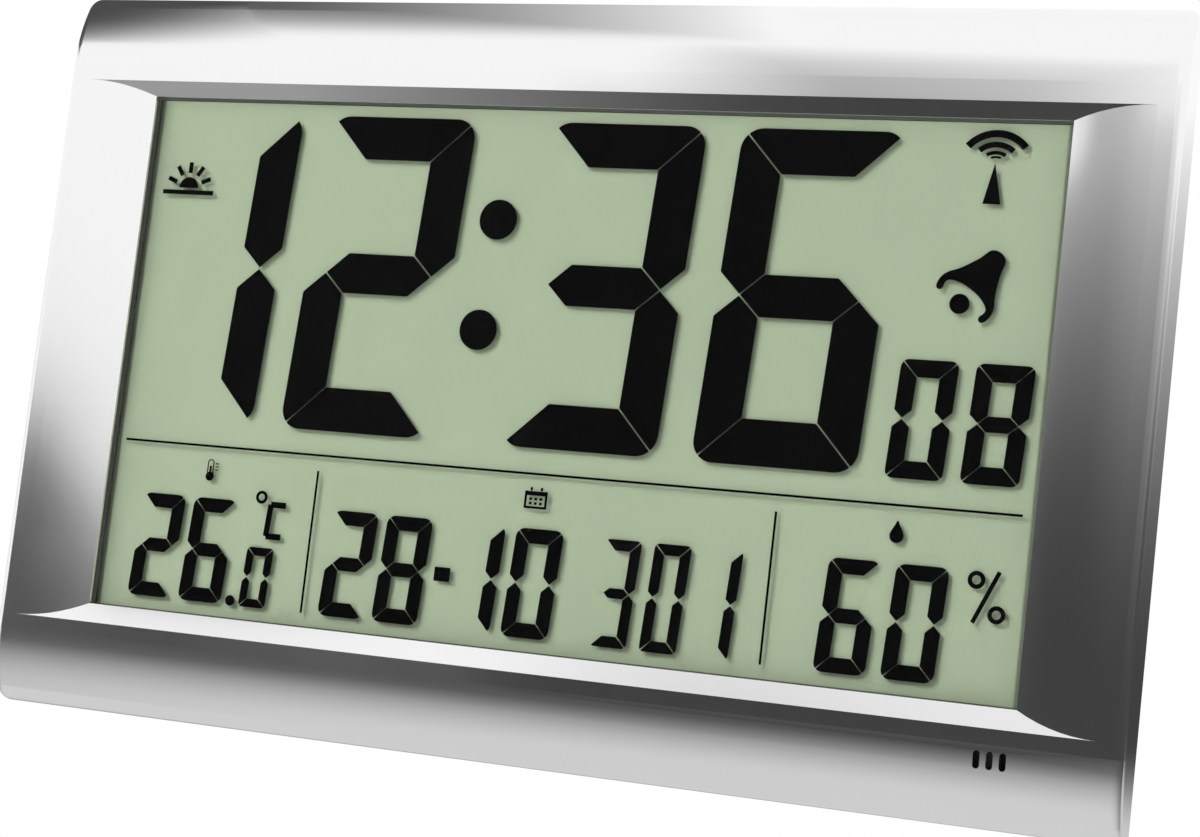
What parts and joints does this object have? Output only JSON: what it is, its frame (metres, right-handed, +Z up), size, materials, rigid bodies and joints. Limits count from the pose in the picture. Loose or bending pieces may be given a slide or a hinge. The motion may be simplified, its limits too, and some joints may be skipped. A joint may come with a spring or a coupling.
{
  "type": "digital wall clock",
  "caption": "Wide digital wall clock with a very large liquid-crystal display in a rolled silver bezel, keyhole back, battery door, rear buttons and fold-out legs.",
  "frame": {"origin": "centre of the keyhole's round entry, on the back face that lies against the wall", "axes": "+X to the viewer's right, +Z up, +Y from the viewer towards the wall; the display faces -Y"},
  "size_m": [0.37, 0.032, 0.238],
  "materials": {
    "silver_paint": "satin metallic silver paint",
    "clear_lens": "clear acrylic",
    "black_foam": "closed-cell foam",
    "display_glass": "polished",
    "reflector_film": "sage-grey reflective film",
    "connector_rubber": "matt",
    "tray_plastic": "fine texture",
    "screw_steel": "zinc plated",
    "circuit_board": "solder resist",
    "black_epoxy": "gloss drop",
    "can_sleeve": "shrink sleeve",
    "nickel_can": "drawn can",
    "switch_plastic": "moulded",
    "gold_pin": "plated",
    "ferrite": "sintered",
    "copper_wire": "lacquered",
    "sensor_package": "moulded",
    "red_sleeve": "extruded",
    "black_sleeve": "extruded",
    "grey_sleeve": "extruded",
    "rear_plastic": "fine spark texture",
    "button_plastic": "smooth",
    "cell_sleeve": "printed sleeve left plain",
    "spring_steel": "nickel plated"
  },
  "bodies": {
    "case": {"front_bezel": "silver_paint", "display_lens": "clear_lens", "lens_gasket": "black_foam", "lcd_front_glass": "display_glass", "lcd_rear_glass": "display_glass", "lcd_reflector": "reflector_film", "zebra_strip": "connector_rubber", "display_tray": "tray_plastic", "tray_screws": "screw_steel", "main_board": "circuit_board", "board_screws": "screw_steel", "driver_chips": "black_epoxy", "quartz_crystal": "nickel_can", "smoothing_capacitors": "can_sleeve", "tact_switches": "switch_plastic", "receiver_board": "circuit_board", "header_pins": "gold_pin", "receiver_chip": "black_epoxy", "ferrite_rod": "ferrite", "antenna_coil": "copper_wire", "antenna_leads": "copper_wire", "buzzer": "switch_plastic", "buzzer_leads": "black_sleeve", "sensor_board": "circuit_board", "climate_sensor": "sensor_package", "sensor_leads": "grey_sleeve", "rear_cover": "rear_plastic", "case_screws": "screw_steel", "battery_cells": "cell_sleeve", "positive_contact": "spring_steel", "negative_contact": "spring_steel", "bridge_contact": "spring_steel", "battery_lead_red": "red_sleeve", "battery_lead_black": "black_sleeve"},
    "battery_door": {"battery_door": "rear_plastic"},
    "stand_leg_left": {"stand_leg_left": "rear_plastic"},
    "stand_leg_right": {"stand_leg_right": "rear_plastic"},
    "set_button": {"set_button": "button_plastic"},
    "up_button": {"up_button": "button_plastic"},
    "down_button": {"down_button": "button_plastic"},
    "alarm_button": {"alarm_button": "button_plastic"},
    "wave_button": {"wave_button": "button_plastic"},
    "unit_button": {"unit_button": "button_plastic"}
  },
  "joints": [
    {"name": "leg_left_hinge", "type": "hinge", "parent": "case", "child": "stand_leg_left", "pos_m": [-0.11, -0.0032, -0.116], "axis": [1, 0, 0], "range_deg": [0, 32]},
    {"name": "leg_right_hinge", "type": "hinge", "parent": "case", "child": "stand_leg_right", "pos_m": [0.11, -0.0032, -0.116], "axis": [1, 0, 0], "range_deg": [0, 32]},
    {"name": "battery_door_hinge", "type": "hinge", "parent": "case", "child": "battery_door", "pos_m": [0, -0.00115, -0.0847], "axis": [1, 0, 0], "range_deg": [0, 65]},
    {"name": "set_button_press", "type": "slide", "parent": "case", "child": "set_button", "axis": [0, -1, 0], "range_m": [0, 0.001], "stiffness_N_per_m": 400},
    {"name": "up_button_press", "type": "slide", "parent": "case", "child": "up_button", "axis": [0, -1, 0], "range_m": [0, 0.001], "stiffness_N_per_m": 400},
    {"name": "down_button_press", "type": "slide", "parent": "case", "child": "down_button", "axis": [0, -1, 0], "range_m": [0, 0.001], "stiffness_N_per_m": 400},
    {"name": "alarm_button_press", "type": "slide", "parent": "case", "child": "alarm_button", "axis": [0, -1, 0], "range_m": [0, 0.001], "stiffness_N_per_m": 400},
    {"name": "wave_button_press", "type": "slide", "parent": "case", "child": "wave_button", "axis": [0, -1, 0], "range_m": [0, 0.001], "stiffness_N_per_m": 400},
    {"name": "unit_button_press", "type": "slide", "parent": "case", "child": "unit_button", "axis": [0, -1, 0], "range_m": [0, 0.001], "stiffness_N_per_m": 400}
  ]
}
